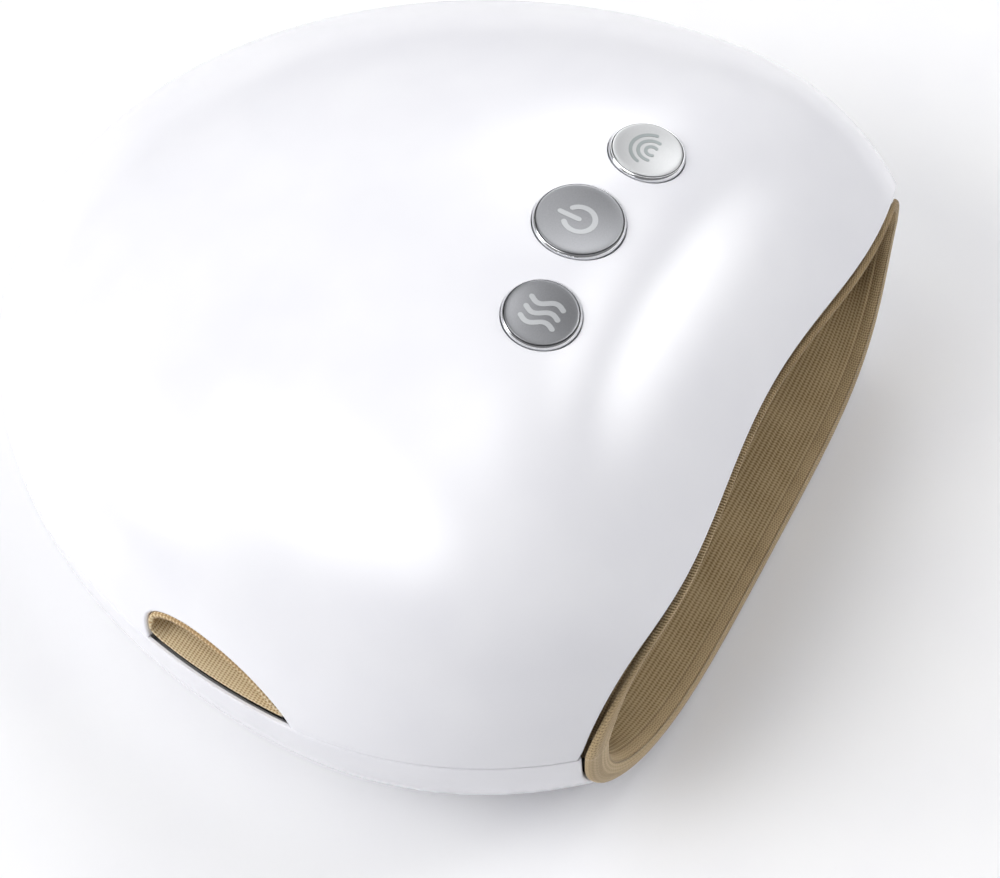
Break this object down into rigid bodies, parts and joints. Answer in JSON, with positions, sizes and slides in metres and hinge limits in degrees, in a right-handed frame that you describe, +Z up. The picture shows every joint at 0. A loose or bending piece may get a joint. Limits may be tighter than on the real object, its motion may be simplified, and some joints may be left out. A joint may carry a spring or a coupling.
{
  "type": "hand massager",
  "caption": "Cordless hand massager with a glossy two-part shell, a knit-lined pocket for the hand, a thumb hole in each side and metal-look push buttons on top.",
  "frame": {"origin": "on the table, under the middle of the object's box", "axes": "+Z up, +X to the right of a person whose hand goes in, the mouth faces -Y"},
  "size_m": [0.2304, 0.2094, 0.1048],
  "materials": {
    "shell": "high gloss, cool white",
    "knit": "fine rib knit, tan",
    "cap_dark": "satin, slightly dished",
    "cap_light": "satin, slightly dished",
    "bezel": "polished",
    "inner_plastic": "matt",
    "board": "solder resist",
    "steel": "plated",
    "hose": "silicone",
    "heater": "film heater",
    "bag": "coated fabric",
    "foot": "matt",
    "battery": "shrink sleeve"
  },
  "bodies": {
    "housing": {"upper_shell": "shell", "lower_shell": "shell", "upper_lining": "knit", "lower_lining": "knit", "mouth_welt": "knit", "thumb_lining_left": "knit", "thumb_lining_right": "knit", "button_board": "board", "bezel_power": "bezel", "switch_power": "inner_plastic", "bezel_heat": "bezel", "switch_heat": "inner_plastic", "bezel_pressure": "bezel", "switch_pressure": "inner_plastic", "inner_deck": "inner_plastic", "deck_screw_front_left": "steel", "deck_screw_front_right": "steel", "deck_screw_rear_left": "steel", "deck_screw_rear_right": "steel", "pump_motor": "steel", "pump_head": "inner_plastic", "valve_body": "steel", "air_manifold": "inner_plastic", "pump_hose": "hose", "upper_hose": "hose", "lower_hose": "hose", "heating_pad": "heater", "upper_air_bag": "bag", "lower_air_bag": "bag", "floor_plate": "inner_plastic", "base_screw_front_left": "steel", "base_screw_front_right": "steel", "base_screw_rear_left": "steel", "base_screw_rear_right": "steel", "foot_front_left": "foot", "foot_front_right": "foot", "foot_rear_left": "foot", "foot_rear_right": "foot", "shell_screw_left": "steel", "shell_screw_right": "steel", "battery_pack": "battery", "control_board": "board", "buzzer": "inner_plastic", "charge_socket": "steel"},
    "power_cap": {"button_power": "cap_dark"},
    "heat_cap": {"button_heat": "cap_dark"},
    "pressure_cap": {"button_pressure": "cap_light"},
    "rotor": {"pump_rotor": "steel"},
    "plunger": {"valve_plunger": "bezel"}
  },
  "joints": [
    {"name": "power_press", "type": "slide", "parent": "housing", "child": "power_cap", "axis": [0, 0.0632, -0.998], "range_m": [0, 0.0008], "stiffness_N_per_m": 1500, "springref_m": -0.0003},
    {"name": "heat_press", "type": "slide", "parent": "housing", "child": "heat_cap", "axis": [0.0771, 0.0995, -0.992], "range_m": [0, 0.0008], "stiffness_N_per_m": 1500, "springref_m": -0.0003},
    {"name": "pressure_press", "type": "slide", "parent": "housing", "child": "pressure_cap", "axis": [-0.0771, 0.0995, -0.992], "range_m": [0, 0.0008], "stiffness_N_per_m": 1500, "springref_m": -0.0003},
    {"name": "rotor_spin", "type": "hinge", "parent": "housing", "child": "rotor", "pos_m": [-0.045, -0.0271, 0.08285], "axis": [0, 1, 0], "continuous": true},
    {"name": "plunger_pull", "type": "slide", "parent": "housing", "child": "plunger", "axis": [-1, 0, 0], "range_m": [0, 0.0015], "stiffness_N_per_m": 200, "springref_m": -0.0005}
  ]
}
